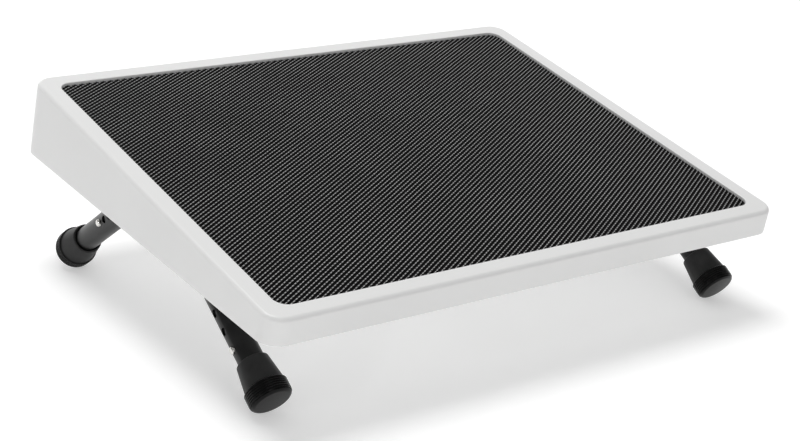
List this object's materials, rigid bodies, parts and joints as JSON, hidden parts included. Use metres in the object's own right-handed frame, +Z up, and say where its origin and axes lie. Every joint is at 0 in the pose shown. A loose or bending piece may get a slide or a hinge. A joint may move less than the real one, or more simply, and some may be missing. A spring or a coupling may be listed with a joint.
{
  "type": "slant board",
  "caption": "Wedge-shaped standing board with a recessed diamond-stud rubber mat and telescoping snap-button legs on rubber tips.",
  "frame": {"origin": "on the floor under the middle of the board", "axes": "+X across the board, to the right of a person facing up the slope from its low edge; +Y towards the high edge; +Z up"},
  "size_m": [0.5074, 0.4022, 0.161],
  "materials": {
    "deck_white": "injection-moulded white plastic, fine satin grain",
    "mat_rubber": "black rubber with raised diamond studs",
    "frame_steel": "zinc-plated steel tube",
    "clamp_plastic": "black glass-filled nylon",
    "screw_steel": "zinc-plated pan-head screws",
    "leg_black": "black powder-coated steel tube, semi-gloss",
    "tip_rubber": "black moulded rubber",
    "button_steel": "nickel-plated steel",
    "spring_steel": "blued spring steel strip"
  },
  "bodies": {
    "deck": {"deck_shell": "deck_white", "grip_mat": "mat_rubber", "frame_tube_left": "frame_steel", "frame_clamp_left": "clamp_plastic", "clamp_screws_left": "screw_steel", "leaf_spring_front_left": "spring_steel", "leaf_spring_back_left": "spring_steel", "frame_tube_right": "frame_steel", "frame_clamp_right": "clamp_plastic", "clamp_screws_right": "screw_steel", "leaf_spring_front_right": "spring_steel", "leaf_spring_back_right": "spring_steel"},
    "leg_front_left": {"leg_tube_front_left": "leg_black", "rubber_tip_front_left": "tip_rubber"},
    "button_front_left": {"snap_button_front_left": "button_steel"},
    "leg_back_left": {"leg_tube_back_left": "leg_black", "rubber_tip_back_left": "tip_rubber"},
    "button_back_left": {"snap_button_back_left": "button_steel"},
    "leg_front_right": {"leg_tube_front_right": "leg_black", "rubber_tip_front_right": "tip_rubber"},
    "button_front_right": {"snap_button_front_right": "button_steel"},
    "leg_back_right": {"leg_tube_back_right": "leg_black", "rubber_tip_back_right": "tip_rubber"},
    "button_back_right": {"snap_button_back_right": "button_steel"}
  },
  "joints": [
    {"name": "leg_front_left_slide", "type": "slide", "parent": "deck", "child": "leg_front_left", "axis": [0, -0.8384, -0.5451], "range_m": [0, 0.1002]},
    {"name": "button_front_left_press", "type": "slide", "parent": "deck", "child": "button_front_left", "axis": [1, 0, 0], "range_m": [0, 0.0038], "stiffness_N_per_m": 1500, "springref_m": -0.002, "deforming": ["leaf_spring_front_left"]},
    {"name": "leg_back_left_slide", "type": "slide", "parent": "deck", "child": "leg_back_left", "axis": [0, 0.8114, -0.5845], "range_m": [0, 0.06]},
    {"name": "button_back_left_press", "type": "slide", "parent": "deck", "child": "button_back_left", "axis": [1, 0, 0], "range_m": [0, 0.0038], "stiffness_N_per_m": 1500, "springref_m": -0.002, "deforming": ["leaf_spring_back_left"]},
    {"name": "leg_front_right_slide", "type": "slide", "parent": "deck", "child": "leg_front_right", "axis": [0, -0.8384, -0.5451], "range_m": [0, 0.1002]},
    {"name": "button_front_right_press", "type": "slide", "parent": "deck", "child": "button_front_right", "axis": [-1, 0, 0], "range_m": [0, 0.0038], "stiffness_N_per_m": 1500, "springref_m": -0.002, "deforming": ["leaf_spring_front_right"]},
    {"name": "leg_back_right_slide", "type": "slide", "parent": "deck", "child": "leg_back_right", "axis": [0, 0.8114, -0.5845], "range_m": [0, 0.06]},
    {"name": "button_back_right_press", "type": "slide", "parent": "deck", "child": "button_back_right", "axis": [-1, 0, 0], "range_m": [0, 0.0038], "stiffness_N_per_m": 1500, "springref_m": -0.002, "deforming": ["leaf_spring_back_right"]}
  ]
}
